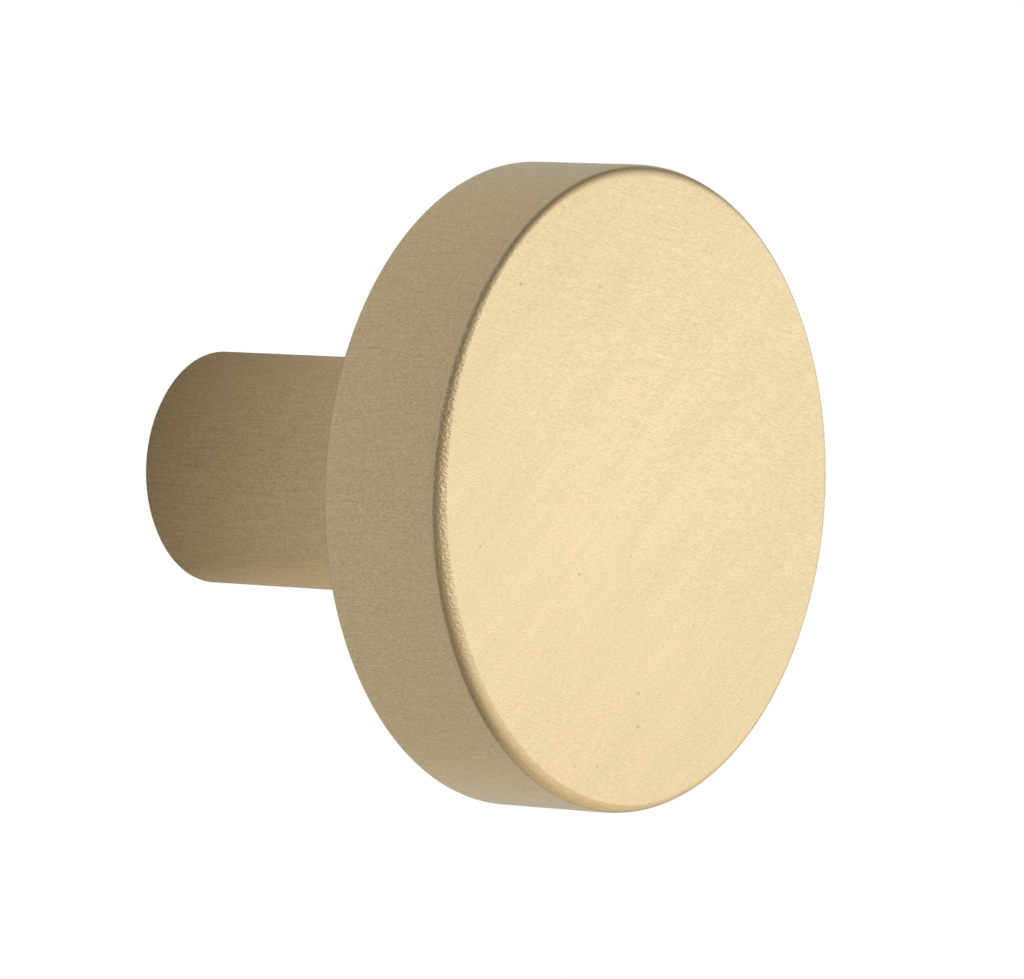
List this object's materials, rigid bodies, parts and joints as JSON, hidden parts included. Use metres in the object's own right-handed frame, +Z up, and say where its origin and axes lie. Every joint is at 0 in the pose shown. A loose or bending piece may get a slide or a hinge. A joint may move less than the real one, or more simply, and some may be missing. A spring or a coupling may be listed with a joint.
{
  "type": "cabinet knob",
  "caption": "Round disc cabinet knob in brushed brass: a flat-faced head with a rounded front edge on a plain stem, fixed by a screw in the stem's tapped end.",
  "frame": {"origin": "centre of the stem's end, where the knob sits on the cabinet front", "axes": "+Y along the turning axis, out of the screw hole and into the cabinet; the face looks towards -Y; +Z up"},
  "size_m": [0.032, 0.027, 0.032],
  "materials": {
    "brushed_brass": "satin, brushed"
  },
  "bodies": {
    "root": {"knob": "brushed_brass"}
  },
  "joints": []
}
